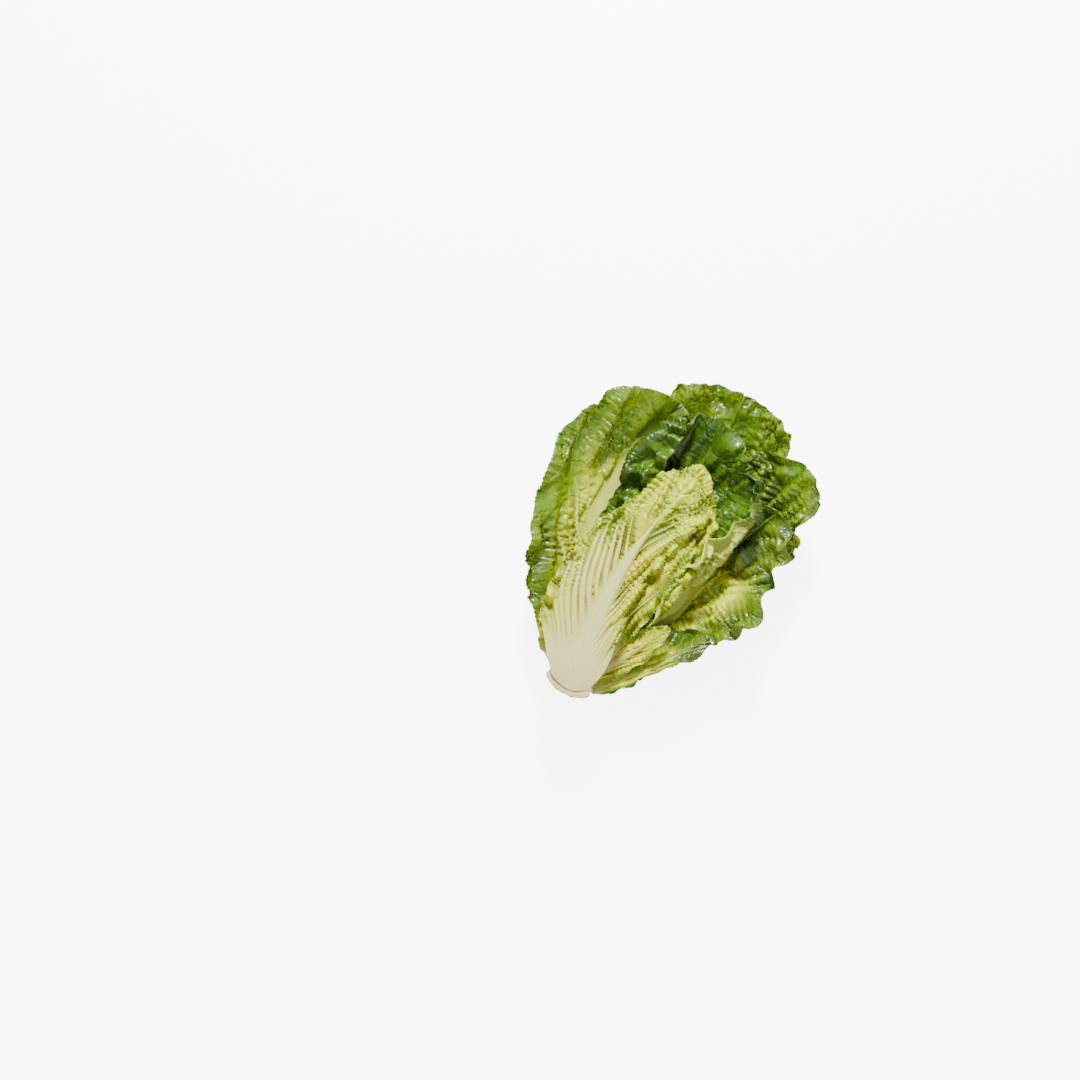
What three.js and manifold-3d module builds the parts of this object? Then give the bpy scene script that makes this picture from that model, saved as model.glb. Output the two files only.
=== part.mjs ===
// Half of a romaine lettuce head, cut lengthwise through the stem and lying on its rounded back, cut face up.
// Each leaf is one thin closed solid, and the leaves nest inside each other round the halved stem.
//
// Plan coordinates: the head is laid out with x across and y from the cut end of the stem (0) to the
// leaf tips (HEAD_LENGTH), and z up from the table. The finished group is then centred over its footprint.

import * as THREE from "three";
import Module from "manifold-3d";

const wasm = await Module();
wasm.setup();

// ---- driving dimensions, in millimetres ----

const HEAD_LENGTH = 235;
const HEAD_HALF_WIDTH = 98;      // at the widest section
const WIDEST_AT = 140;           // how far from the stem's end that section is
const CUT_HEIGHT = 56;           // height of the lengthwise cut above the table

const STEM_RADIUS = 14;          // from the cut face down to the stem's rounded back
const STEM_HALF_WIDTH = 19;      // across the cut face
const STEM_LENGTH = 58;
const STEM_CENTRE_X = -9;
const STEM_LIFT = 30;            // the outer leaves' backs rise this far off the table at the stem
const TIP_LIFT = 24;             // and this far at the tips

const BLADE_THICKNESS = 1.1;
const RIB_EXTRA = 0.8;           // how much thicker a leaf is along its midrib
const LAYER_PITCH = 4.3;         // least height from one leaf to the next over the blades
const STEM_PITCH = 2.6;          // and where the leaf bases crowd together at the stem
const PRESSED = 2.5;             // how deep the head's rounded back is pressed flat by the table
const OUTLINE_REACH = 6;         // how far a leaf's corners lie past the ends of its midrib
const STEM_GAP = 0.4;

const ROWS = 16;                 // steps along a leaf
const COLUMNS = 8;               // steps across a leaf

// ---- small helpers ----

const { clamp, lerp, smoothstep } = THREE.MathUtils;

// The lower of two heights, with the corner between them rounded off.
function softMin(a, b) {
  const ROUNDING = 8;
  const nearness = Math.max(ROUNDING - Math.abs(a - b), 0) / ROUNDING;
  return Math.min(a, b) - (ROUNDING / 4) * nearness ** 2;
}

// A smooth value through evenly spaced stations, at t from 0 to 1.
function throughStations(values, t) {
  const span = clamp(t, 0, 1) * (values.length - 1);
  const i = Math.min(Math.floor(span), values.length - 2);
  const f = span - i;
  const before = values[Math.max(i - 1, 0)];
  const after = values[Math.min(i + 2, values.length - 1)];
  const [a, b] = [values[i], values[i + 1]];
  const bend = 2 * a - 2 * b + (b - before) / 2 + (after - a) / 2;
  const pull = -3 * a + 3 * b - (b - before) - (after - a) / 2;
  return a + (f * (b - before)) / 2 + f * f * pull + f * f * f * bend;
}

// ---- the head's overall form ----

// Half the head's width at a distance y from the stem's end.
function halfWidthAt(y) {
  const base = 0.24;
  const toWidest = clamp(y / WIDEST_AT, 0, 1);
  const pastWidest = Math.max(y - WIDEST_AT, 0) / (HEAD_LENGTH - WIDEST_AT);
  const opening = base + (1 - base) * Math.sin((toWidest * Math.PI) / 2);
  return HEAD_HALF_WIDTH * opening * Math.sqrt(1 - 0.55 * Math.min(pastWidest, 1.2) ** 2);
}

// Height of the outermost leaf's back along the middle of the head.
function backHeightAt(y) {
  const stemRise = STEM_LIFT * (1 - smoothstep(y, 0, 90));
  const tipRise = TIP_LIFT * smoothstep(y, 150, HEAD_LENGTH);
  return stemRise + tipRise - PRESSED;
}

// ---- the leaves, from the innermost at the cut face to the outermost on the table ----
// depth: 1 at the cut face, 0 at the table. cupX and cupHalf: the middle and half-width of the bowl that
// the leaf follows. climb: how sharply it rises towards its edges. rim: the height its edges reach. rib: the
// midrib in plan, from base to tip. baseSweep and tipSweep: how far the base corners and the tip's corners
// lie ahead of (+) or behind (-) the rib's ends. left and right: half-widths at even stations along the rib.

const LEAVES = [
  { name: "heart_leaf_front", depth: 1, cupX: -14, cupHalf: 80, climb: 2.4, rim: 62,
    rib: [[-8, 4], [-11, 39], [-13.5, 74], [-13, 109], [-7.5, 144], [0, 179]], baseSweep: 5, tipSweep: -15,
    left: [14, 37, 37, 29, 21, 12], right: [13, 18, 19, 21, 23, 20] },
  { name: "heart_leaf_middle", depth: 0.9, cupX: -6, cupHalf: 44, climb: 2.4, rim: 64,
    rib: [[-2, 40], [1, 80], [6, 120], [10, 155]], baseSweep: -6, tipSweep: -10,
    left: [8, 20, 24, 20, 10], right: [9, 16, 18, 17, 10] },
  { name: "inner_leaf_low_right", depth: 0.93, cupX: -4, cupHalf: 54, climb: 2.4, rim: 64,
    rib: [[-1, 13], [11, 32], [23, 53], [32, 73]], baseSweep: 0, tipSweep: -7,
    left: [6, 13, 15, 12, 5], right: [4, 9, 10, 8, 5] },
  { name: "heart_leaf_back", depth: 0.8, cupX: -6, cupHalf: 44, climb: 2.4, rim: 66,
    rib: [[-4, 44], [2, 85], [8, 125], [12, 166]], baseSweep: -6, tipSweep: -12,
    left: [10, 26, 32, 26, 13], right: [10, 20, 24, 23, 14] },
  { name: "inner_leaf_left", depth: 0.72, cupX: -10, cupHalf: 50, climb: 2.4, rim: 66,
    rib: [[-24, 16], [-32, 52], [-36, 92], [-34, 128]], baseSweep: -4, tipSweep: -10,
    left: [8, 18, 17, 12, 6], right: [6, 22, 28, 24, 12] },
  { name: "inner_leaf_back", depth: 0.62, cupX: -4, cupHalf: 50, climb: 2.4, rim: 62,
    rib: [[-6, 34], [-4, 80], [0, 130], [4, 168]], baseSweep: -4, tipSweep: -14,
    left: [9, 28, 32, 26, 12], right: [9, 24, 30, 26, 13] },
  { name: "middle_leaf", depth: 0.45, cupX: -2, cupHalf: 50, climb: 2.6, rim: 60,
    rib: [[-6, 24], [-5, 70], [-4, 115], [-2, 165], [0, 211]], baseSweep: -3, tipSweep: -17,
    left: [9, 28, 36, 39, 44, 25], right: [9, 24, 33, 45, 49, 28] },
  { name: "outer_leaf_low_right", depth: 0.4, cupX: 0, cupHalf: 92, climb: 2, rim: 60,
    rib: [[8, 9], [24, 28], [42, 51], [60, 80]], baseSweep: 0, tipSweep: -8,
    left: [4, 15, 21, 21, 11], right: [4, 6, 5, 5, 5] },
  { name: "middle_leaf_under", depth: 0.38, cupX: -3, cupHalf: 62, climb: 2.4, rim: 58,
    rib: [[-8, 20], [-10, 70], [-10, 120], [-8, 190]], baseSweep: -3, tipSweep: -16,
    left: [9, 28, 33, 35, 24], right: [9, 26, 34, 42, 26] },
  { name: "outer_leaf_right", depth: 0.28, cupX: 0, cupHalf: 90, climb: 1.6, rim: 56,
    rib: [[4, 15], [19, 65], [33, 108], [46, 144], [60, 178]], baseSweep: 0, tipSweep: -16,
    left: [7, 26, 36, 38, 34, 20], right: [7, 20, 40, 48, 34, 29] },
  { name: "outer_leaf_left", depth: 0.2, cupX: 0, cupHalf: 96, climb: 1.35, rim: 60,
    rib: [[-13, 12], [-28, 65], [-43, 118], [-45, 166], [-39, 210]], baseSweep: 0, tipSweep: -12,
    left: [13, 33, 44, 47, 43, 29], right: [7, 28, 42, 46, 44, 34] },
  { name: "outer_leaf_far_right", depth: 0.14, cupX: 0, cupHalf: 98, climb: 1.8, rim: 58,
    rib: [[2, 10], [18, 65], [36, 120], [50, 166], [62, 212]], baseSweep: 0, tipSweep: -10,
    left: [7, 28, 40, 42, 28], right: [7, 21, 27, 33, 19] },
  { name: "outer_leaf_back", depth: 0.07, cupX: 0, cupHalf: 98, climb: 2.4, rim: 58,
    rib: [[-4, 8], [0, 70], [6, 130], [6, 182], [2, 236]], baseSweep: 0, tipSweep: -13,
    left: [8, 36, 52, 56, 44], right: [8, 36, 50, 50, 40] },
  { name: "outer_leaf_under", depth: 0, cupX: 0, cupHalf: 98, climb: 2.4, rim: 54,
    rib: [[-8, 5], [-6, 60], [-6, 120], [-8, 180]], baseSweep: 0, tipSweep: -14,
    left: [8, 46, 58, 54, 28], right: [8, 46, 58, 54, 28] },
];

const LEAF_GREEN = {
  heart: 0xd6d67a,
  inner: 0xb9c45c,
  middle: 0x7f9c25,
  outer: 0x5f8420,
};

// How far a leaf is present over a point of the plan: 1 within its outline, and 0 well outside it.
function presenceAt(leaf, x, y) {
  const FADE = 30;
  const [ribStart, ribEnd] = [leaf.rib[0], leaf.rib[leaf.rib.length - 1]];
  const start = ribStart[1] + Math.min(leaf.baseSweep, 0) - OUTLINE_REACH;
  const end = ribEnd[1] + OUTLINE_REACH;
  const v = clamp((y - ribStart[1]) / (ribEnd[1] - ribStart[1]), 0, 1);
  const ribX = throughStations(leaf.rib.map((point) => point[0]), v);
  const reach = throughStations(x < ribX ? leaf.left : leaf.right, v) + OUTLINE_REACH;
  const along = smoothstep(y, start - FADE, start) * (1 - smoothstep(y, end, end + FADE));
  return along * (1 - smoothstep(Math.abs(x - ribX), reach, reach + FADE));
}

// The height that a leaf would take with nothing above it: a bowl over the table.
function freeHeight(leaf, x, y) {
  const FLAT_SHARE = 0.16;
  const base = lerp(backHeightAt(y), CUT_HEIGHT, leaf.depth);
  const half = leaf.cupHalf * (halfWidthAt(y) / HEAD_HALF_WIDTH);
  const outward = Math.abs(x - leaf.cupX * (half / leaf.cupHalf)) / half;
  const climb = Math.max(outward - FLAT_SHARE, 0) / (1 - FLAT_SHARE);
  return base + Math.max(leaf.rim - base, 4) * climb ** leaf.climb;
}

// Depth of the halved stem, a rounded cone lying along the head.
function stemRadiusAt(y) {
  const along = clamp(y / STEM_LENGTH, 0, 1);
  return STEM_RADIUS * Math.sqrt(1 - along ** 3);
}

// A smooth hollow that the stem lies in, for the leaves under it to follow.
function hollowUnderStem(x, y) {
  const WIDENING = 3;
  const depth = (STEM_RADIUS + STEM_GAP) * (1 - smoothstep(y, 20, 1.75 * STEM_LENGTH));
  return CUT_HEIGHT - depth + (x - STEM_CENTRE_X) ** 2 / (2 * WIDENING * STEM_RADIUS);
}

function pitchAt(y) {
  return lerp(STEM_PITCH, LAYER_PITCH, smoothstep(y, 10, 90));
}

function ribExtraAt(y) {
  return RIB_EXTRA * smoothstep(y, 10, 90);
}

// The underside of leaf number i at a point of the plan, before the table presses on it. Each leaf keeps
// below the one inside it, and the leaves under the cut face keep below the stem.
function hangingHeight(i, x, y) {
  const own = freeHeight(LEAVES[i], x, y);
  if (i === 0) return own + STEM_GAP;
  const above = LEAVES[i - 1];
  const ceiling = hangingHeight(i - 1, x, y) - pitchAt(y) * presenceAt(above, x, y);
  return softMin(softMin(own, ceiling), hollowUnderStem(x, y) - STEM_GAP - pitchAt(y));
}

function undersideHeight(i, x, y) {
  const leavesBelow = LEAVES.length - 1 - i;
  return Math.max(hangingHeight(i, x, y), pitchAt(y) * leavesBelow);
}

// ---- one leaf as a closed solid ----

function planPoint(leaf, rib, u, v) {
  const at = rib.getPoint(v);
  const along = rib.getTangent(v);
  const side = u < 0 ? leaf.left : leaf.right;
  const reach = u * throughStations(side, v);
  const sweep = lerp(leaf.baseSweep, leaf.tipSweep, v ** 3) * u * u;
  return [at.x + along.y * reach + along.x * sweep, at.y - along.x * reach + along.y * sweep];
}

function leafGeometry(index) {
  const leaf = LEAVES[index];
  const rib = new THREE.SplineCurve(leaf.rib.map(([x, y]) => new THREE.Vector2(x, y)));
  const positions = [];
  for (const top of [false, true]) {
    for (let row = 0; row <= ROWS; row++) {
      for (let column = 0; column <= COLUMNS; column++) {
        const u = (2 * column) / COLUMNS - 1;
        const [x, y] = planPoint(leaf, rib, u, row / ROWS);
        const thickness = BLADE_THICKNESS + ribExtraAt(y) * (1 - Math.abs(u)) ** 3;
        positions.push(x, y, undersideHeight(index, x, y) + (top ? thickness : 0));
      }
    }
  }
  const across = COLUMNS + 1;
  const layer = across * (ROWS + 1);
  const faces = [];
  const quad = (a, b, c, d) => faces.push(a, b, c, a, c, d);
  for (let row = 0; row < ROWS; row++) {
    for (let column = 0; column < COLUMNS; column++) {
      const a = row * across + column;
      quad(a, a + across, a + across + 1, a + 1);
      quad(layer + a, layer + a + 1, layer + a + across + 1, layer + a + across);
    }
  }
  for (let column = 0; column < COLUMNS; column++) {
    const end = ROWS * across + column;
    quad(column, column + 1, layer + column + 1, layer + column);
    quad(end, layer + end, layer + end + 1, end + 1);
  }
  for (let row = 0; row < ROWS; row++) {
    const start = row * across;
    const far = start + COLUMNS;
    quad(start, layer + start, layer + start + across, start + across);
    quad(far, far + across, layer + far + across, layer + far);
  }
  const geometry = new THREE.BufferGeometry();
  geometry.setAttribute("position", new THREE.Float32BufferAttribute(positions, 3));
  geometry.setIndex(faces);
  geometry.computeVertexNormals();
  return geometry;
}

// ---- the halved stem ----

function asSolid(geometry) {
  const merged = mergeByPlace(geometry);
  return new wasm.Manifold(new wasm.Mesh({ numProp: 3, ...merged }));
}

// Shared vertices joined by place, so that the mesh is closed.
function mergeByPlace(geometry) {
  const GRAIN = 1e4;
  const source = geometry.index ? geometry.toNonIndexed() : geometry;
  const place = source.getAttribute("position");
  const seen = new Map();
  const vertices = [];
  const corners = [];
  for (let i = 0; i < place.count; i++) {
    const point = [place.getX(i), place.getY(i), place.getZ(i)];
    const key = point.map((value) => Math.round(value * GRAIN)).join();
    if (!seen.has(key)) {
      seen.set(key, vertices.length / 3);
      vertices.push(...point);
    }
    corners.push(seen.get(key));
  }
  const triangles = [];
  for (let i = 0; i < corners.length; i += 3) {
    const [a, b, c] = corners.slice(i, i + 3);
    if (a !== b && b !== c && a !== c) triangles.push(a, b, c);
  }
  return { vertProperties: new Float32Array(vertices), triVerts: new Uint32Array(triangles) };
}

function stemGeometry() {
  const RINGS = 9;
  const SIDES = 24;
  const BEVEL = 1.5;
  const profile = [new THREE.Vector2(0, 0), new THREE.Vector2(STEM_RADIUS - BEVEL, 0)];
  for (let ring = 0; ring < RINGS; ring++) {
    const y = lerp(BEVEL, STEM_LENGTH, ring / RINGS);
    profile.push(new THREE.Vector2(stemRadiusAt(y), y));
  }
  profile.push(new THREE.Vector2(0, STEM_LENGTH));
  const whole = new THREE.LatheGeometry(profile, SIDES);
  const knife = new THREE.BoxGeometry(4 * STEM_RADIUS, 3 * STEM_LENGTH, 4 * STEM_RADIUS);
  knife.translate(0, 0, 2 * STEM_RADIUS);
  whole.scale(STEM_HALF_WIDTH / STEM_RADIUS, 1, 1);
  const half = asSolid(whole).subtract(asSolid(knife)).getMesh();
  const geometry = new THREE.BufferGeometry();
  geometry.setAttribute("position", new THREE.BufferAttribute(half.vertProperties, 3));
  geometry.setIndex(new THREE.BufferAttribute(half.triVerts, 1));
  geometry.computeVertexNormals();
  return geometry;
}

// ---- the assembly ----

function leafColour(name) {
  return new THREE.Color(LEAF_GREEN[name.split("_")[0]]);
}

const head = new THREE.Group();

LEAVES.forEach((leaf, index) => {
  const color = leafColour(leaf.name);
  const skin = new THREE.MeshStandardMaterial({ color, roughness: 0.45, metalness: 0 });
  const mesh = new THREE.Mesh(leafGeometry(index), skin);
  mesh.name = leaf.name;
  head.add(mesh);
});

const pith = new THREE.MeshStandardMaterial({ color: 0xe6e2c4, roughness: 0.5, metalness: 0 });
const stem = new THREE.Mesh(stemGeometry(), pith);
stem.name = "stem_core";
stem.position.set(STEM_CENTRE_X, 0, CUT_HEIGHT);
head.add(stem);

// The part's origin is on the table, under the middle of its footprint.
const extent = new THREE.Box3().setFromObject(head);
const middle = extent.getCenter(new THREE.Vector3());
head.position.set(-middle.x, -middle.y, -extent.min.z);

const lettuceHalf = new THREE.Group();
lettuceHalf.add(head);

export default lettuceHalf;
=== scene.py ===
"""Half of a romaine head, lying on its rounded back with the cut face up.

Lengths in this script are in millimetres until a mesh is made. Plan coordinates have x across the head and
y from the cut end of the stem (0) towards the leaf tips. On a leaf, u runs across from its left margin (-1)
over the midrib (0) to its right margin (1), and v runs along it from its base (0) to its tip (1).
"""
from math import cos, pi, radians, sin

import bmesh
import bpy
import numpy as np
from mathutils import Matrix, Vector


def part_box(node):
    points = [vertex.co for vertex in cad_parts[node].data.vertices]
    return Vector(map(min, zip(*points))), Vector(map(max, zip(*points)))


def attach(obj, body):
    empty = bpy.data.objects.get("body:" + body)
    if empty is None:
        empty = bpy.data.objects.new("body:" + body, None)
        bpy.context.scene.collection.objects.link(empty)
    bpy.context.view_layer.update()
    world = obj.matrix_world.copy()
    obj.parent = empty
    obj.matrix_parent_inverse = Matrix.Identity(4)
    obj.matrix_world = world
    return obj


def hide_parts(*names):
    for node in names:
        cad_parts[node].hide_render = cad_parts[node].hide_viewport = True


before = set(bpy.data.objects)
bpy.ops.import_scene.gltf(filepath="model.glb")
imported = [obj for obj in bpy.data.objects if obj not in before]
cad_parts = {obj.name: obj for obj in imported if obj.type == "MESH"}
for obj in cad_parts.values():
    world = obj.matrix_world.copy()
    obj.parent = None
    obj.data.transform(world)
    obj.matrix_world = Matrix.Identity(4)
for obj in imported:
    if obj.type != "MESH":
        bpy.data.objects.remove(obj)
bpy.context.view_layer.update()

# ---- where the head lies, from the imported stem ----

STEM_LOW, STEM_HIGH = (np.array(corner) * 1000 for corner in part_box("stem_core"))
STEM_X = -9.0
SHIFT = np.array([(STEM_LOW[0] + STEM_HIGH[0]) / 2 - STEM_X, STEM_LOW[1], 0.0])
CUT_HEIGHT = STEM_HIGH[2]
STEM_RADIUS = (STEM_HIGH[0] - STEM_LOW[0]) / 2
STEM_LENGTH = STEM_HIGH[1] - STEM_LOW[1]
STEM_WIDTH = 19.0

HEAD_LENGTH = 235.0
HALF_WIDTH = 98.0
WIDEST_AT = 140.0
STEM_LIFT = 30.0
TIP_LIFT = 24.0
PRESSED = 2.5
LAYER_PITCH = 4.3
STEM_PITCH = 2.6
REACH = 6.0
TABLE_CLEARANCE = .3
BODY_CLEARANCE = .0002

ROWS, COLUMNS = 190, 150

# ---- the leaves, from the innermost to the outermost ----
# depth: 1 at the cut face, 0 on the table.
# cup: the middle and half-width of the bowl the leaf follows, and how sharply it climbs.
# rim: the height its edges reach. tip: how far its tip curls up, or down when negative.
# rib: the midrib in plan. left, right: half-widths at even stations.
# sweep: how far the corners of the base and tip lie ahead of the rib's ends.
# roll: for a side, the blade that rolls over at the margin, at even stations, with the roll's radius and
# angle in degrees. core: how far up the fleshy base reaches.
# laterals: how many side ribs a side, their width, how white, how far they run and how high they stand.
# fan: how steeply they run, at the base and at the tip.
# blister: size of the blade's blisters and how drawn out along the side ribs they are.
# puff: how much the blade has outgrown its ribs, and where along the leaf that begins.
# ruffle: the same at the margins. green: how far up the leaf's own green starts, from pale at the middle
# (0, or less for a paler leaf) to green all over (1). stout: how broad its midrib stays towards the tip.

LEAVES = [
    dict(name="heart_leaf_front", slot="heart_leaf", depth=1.0, cup=(-14, 80, 2.4), rim=62, tip=-9,
         rib=[(-8, 4), (-11, 39), (-13.5, 74), (-13, 109), (-7.5, 144), (0, 179)], sweep=(5, -15), core=.45,
         left=[14, 25, 37, 39, 37, 34, 29, 25, 21, 17, 12], right=[13, 18, 18, 18, 19, 20, 21, 21, 23, 26, 20],
         laterals=(14, 3.4, .85, .85, 2.0), fan=(.5, .3), blister=(12, 1.7), puff=(.62, .1), ruffle=.6,
         green=0, seed=3),
    dict(name="heart_leaf_middle", slot="heart_leaf", depth=.9, cup=(-6, 44, 2.4), rim=64, tip=-5,
         rib=[(-2, 40), (1, 80), (6, 120), (10, 155)], sweep=(-6, -10), core=.3,
         left=[8, 20, 24, 20, 10], right=[9, 16, 18, 17, 10],
         laterals=(9, 2.4, .7, .6, .6), fan=(.5, .3), blister=(10, 2), puff=(.6, 0), ruffle=.5,
         green=.3, seed=5),
    dict(name="inner_leaf_low_right", slot="inner_leaf", depth=.93, cup=(-4, 54, 2.4), rim=64, tip=0,
         rib=[(-1, 13), (11, 32), (23, 53), (32, 73)], sweep=(0, -7), core=.35,
         left=[6, 13, 15, 12, 5], right=[4, 9, 10, 8, 5],
         laterals=(7, 2.4, .5, .6, .6), fan=(.6, .4), blister=(7, 2.2), puff=(.55, 0), ruffle=.8,
         green=-.5, seed=7),
    dict(name="heart_leaf_back", slot="heart_leaf", depth=.8, cup=(-6, 44, 2.4), rim=66, tip=-4,
         rib=[(-4, 44), (2, 85), (8, 125), (12, 166)], sweep=(-6, -12), core=.3,
         left=[10, 26, 32, 26, 13], right=[10, 20, 24, 23, 14],
         laterals=(9, 2.0, .5, .6, .5), fan=(.5, .3), blister=(11, 2), puff=(.55, 0), ruffle=.5,
         green=.4, seed=11),
    dict(name="inner_leaf_left", slot="inner_leaf", depth=.72, cup=(-10, 50, 2.4), rim=66, tip=0,
         rib=[(-24, 16), (-32, 52), (-36, 92), (-34, 128)], sweep=(-4, -10), core=.3,
         left=[8, 18, 17, 12, 6], right=[6, 22, 28, 24, 12],
         laterals=(9, 2.2, .7, .7, .6), fan=(.5, .3), blister=(7, 2.5), puff=(.4, 0), ruffle=.8,
         green=0, seed=13),
    dict(name="inner_leaf_back", slot="inner_leaf", depth=.62, cup=(-4, 50, 2.4), rim=62, tip=0,
         rib=[(-6, 34), (-4, 80), (0, 130), (4, 168)], sweep=(-4, -14), core=.3,
         left=[9, 28, 32, 26, 12], right=[9, 24, 30, 26, 13],
         laterals=(10, 1.8, .5, .6, .4), fan=(.5, .3), blister=(9, 2.0), puff=(.35, 0), ruffle=.5,
         green=.4, seed=17),
    dict(name="middle_leaf", slot="middle_leaf", depth=.45, cup=(-2, 50, 2.6), rim=60, tip=16,
         rib=[(-6, 24), (-5, 70), (-4, 115), (-2, 165), (0, 211)], sweep=(-3, -17), core=.3,
         left=[9, 28, 36, 39, 44, 25], right=[9, 24, 33, 45, 49, 28],
         roll=dict(left=([0, 4, 15, 24, 27, 8], 5, 165), right=([0, 9, 19, 24, 11, 4], 6, 150)),
         laterals=(9, 1.0, .3, .5, .3), fan=(.5, .25), blister=(14, 1.5), puff=(.55, .1), ruffle=.22,
         green=.55, seed=19),
    dict(name="outer_leaf_low_right", slot="outer_leaf", depth=.4, cup=(0, 92, 2.0), rim=60, tip=0,
         rib=[(8, 9), (24, 28), (42, 51), (60, 80)], sweep=(0, -8), core=.35,
         left=[4, 15, 21, 21, 11], right=[4, 6, 5, 5, 5],
         laterals=(8, 1.8, .5, .6, .4), fan=(.5, .3), blister=(10, 2.0), puff=(.4, .1), ruffle=.3,
         green=-1.2, seed=23),
    dict(name="middle_leaf_under", slot="middle_leaf", depth=.38, cup=(-3, 62, 2.4), rim=58, tip=8,
         rib=[(-8, 20), (-10, 70), (-10, 120), (-8, 190)], sweep=(-3, -16), core=.3,
         left=[9, 28, 33, 35, 24], right=[9, 26, 34, 42, 26],
         laterals=(10, 1.6, .4, .6, .3), fan=(.5, .25), blister=(12, 1.8), puff=(.26, .1), ruffle=.2,
         green=.5, seed=29),
    dict(name="outer_leaf_right", slot="outer_leaf", depth=.28, cup=(0, 90, 1.6), rim=56, tip=4,
         rib=[(4, 15), (19, 65), (33, 108), (46, 144), (60, 178)], sweep=(0, -16), core=.34,
         left=[7, 26, 36, 38, 34, 20], right=[7, 20, 40, 48, 34, 29],
         laterals=(8, 1.6, .5, .6, .5), fan=(.34, .18), blister=(11, 1.8), puff=(.55, .1), ruffle=.2,
         green=-.3, seed=31),
    # Its stout midrib keeps a broad pale band near the top: partly its real pale midrib, partly a painted
    # sheen.
    dict(name="outer_leaf_left", slot="outer_leaf", depth=.2, cup=(0, 96, 1.35), rim=60, tip=8,
         rib=[(-13, 12), (-28, 65), (-43, 118), (-45, 166), (-39, 210)], sweep=(0, -12), core=.4,
         left=[13, 33, 44, 47, 43, 29], right=[7, 28, 42, 46, 44, 34],
         laterals=(9, 2.6, .75, .75, .7), fan=(.66, .34), blister=(14, 2), puff=(.66, .35), ruffle=.2,
         green=.15, stout=.13, seed=37),
    dict(name="outer_leaf_far_right", slot="outer_leaf", depth=.14, cup=(0, 98, 1.8), rim=58, tip=6,
         rib=[(2, 10), (18, 65), (36, 120), (50, 166), (62, 212)], sweep=(0, -10), core=.3,
         left=[7, 28, 40, 42, 28], right=[7, 21, 27, 33, 19],
         laterals=(9, .9, .25, .5, .3), fan=(.5, .25), blister=(12, 1.4), puff=(.7, .05), ruffle=.2,
         green=.9, seed=41),
    dict(name="outer_leaf_back", slot="outer_leaf", depth=.07, cup=(0, 98, 2.4), rim=58, tip=10,
         rib=[(-4, 8), (0, 70), (6, 130), (6, 182), (2, 236)], sweep=(0, -13), core=.3,
         left=[8, 36, 52, 56, 44], right=[8, 36, 50, 50, 40],
         laterals=(10, .9, .25, .5, .3), fan=(.5, .22), blister=(12, 1.6), puff=(.7, .1), ruffle=.2,
         green=.9, seed=43),
    dict(name="outer_leaf_under", slot="outer_leaf", depth=0.0, cup=(0, 98, 2.4), rim=54, tip=2,
         rib=[(-8, 5), (-6, 60), (-6, 120), (-8, 180)], sweep=(0, -14), core=.4,
         left=[8, 46, 58, 54, 28], right=[8, 46, 58, 54, 28],
         laterals=(10, 2.0, .7, .7, .5), fan=(.5, .25), blister=(14, 2.0), puff=(.1, .2), ruffle=.1,
         green=.2, seed=47),
]


# ---- small helpers ----

def ease(x, low, high):
    t = np.clip((x - low) / (high - low), 0, 1)
    return t * t * (3 - 2 * t)


def mix(a, b, t):
    return a + (b - a) * t


def soft_min(a, b, rounding=8.0):
    nearness = np.maximum(rounding - np.abs(a - b), 0) / rounding
    return np.minimum(a, b) - rounding / 4 * nearness ** 2


def through_stations(values, t):
    """A smooth value through evenly spaced stations, at t from 0 to 1."""
    values = np.asarray(values, float)
    span = np.clip(t, 0, 1) * (len(values) - 1)
    i = np.minimum(span.astype(int), len(values) - 2)
    f = span - i
    a, b = values[i], values[i + 1]
    before = values[np.maximum(i - 1, 0)]
    after = values[np.minimum(i + 2, len(values) - 1)]
    pull = 3 * (b - a) - (b - before) - (after - a) / 2
    bend = 2 * (a - b) + (b - before) / 2 + (after - a) / 2
    return a + f * (b - before) / 2 + f ** 2 * pull + f ** 3 * bend


def soft_noise(across, along, wavelength, rng, waves=36):
    """Smooth random heights of about unit size, with bumps about a wavelength across."""
    total = np.zeros_like(across)
    for _ in range(waves):
        angle, phase = rng.uniform(0, 2 * pi, 2)
        turn = 2 * pi / (wavelength * rng.uniform(.7, 1.5))
        total += np.cos(turn * (across * cos(angle) + along * sin(angle)) + phase)
    return total / np.sqrt(waves / 2)


# ---- the head's overall form ----

def half_width_at(y):
    base = .24
    past = np.maximum(y - WIDEST_AT, 0) / (HEAD_LENGTH - WIDEST_AT)
    opening = base + (1 - base) * np.sin(np.clip(y / WIDEST_AT, 0, 1) * pi / 2)
    return HALF_WIDTH * opening * np.sqrt(1 - .55 * np.minimum(past, 1.2) ** 2)


def back_height_at(y):
    return STEM_LIFT * (1 - ease(y, 0, 90)) + TIP_LIFT * ease(y, 150, HEAD_LENGTH) - PRESSED


def presence(leaf, x, y):
    """1 over the leaf's outline, fading to 0 well outside it."""
    fade = 30.0
    (_, y_start), (_, y_end) = leaf["rib"][0], leaf["rib"][-1]
    start, end = y_start + min(leaf["sweep"][0], 0) - REACH, y_end + REACH
    v = np.clip((y - y_start) / (y_end - y_start), 0, 1)
    rib_x = through_stations([point[0] for point in leaf["rib"]], v)
    left, right = through_stations(leaf["left"], v), through_stations(leaf["right"], v)
    side = np.where(x < rib_x, left, right) + REACH
    along = ease(y, start - fade, start) * (1 - ease(y, end, end + fade))
    return along * (1 - ease(np.abs(x - rib_x), side, side + fade))


def bowl_height(leaf, x, y):
    flat_share = .16
    base = mix(back_height_at(y), CUT_HEIGHT, leaf["depth"])
    middle, cup_half, power = leaf["cup"]
    half = cup_half * half_width_at(y) / HALF_WIDTH
    outward = np.abs(x - middle * half / cup_half) / half
    climb = np.maximum(outward - flat_share, 0) / (1 - flat_share)
    return base + np.maximum(leaf["rim"] - base, 4) * climb ** power


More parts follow.
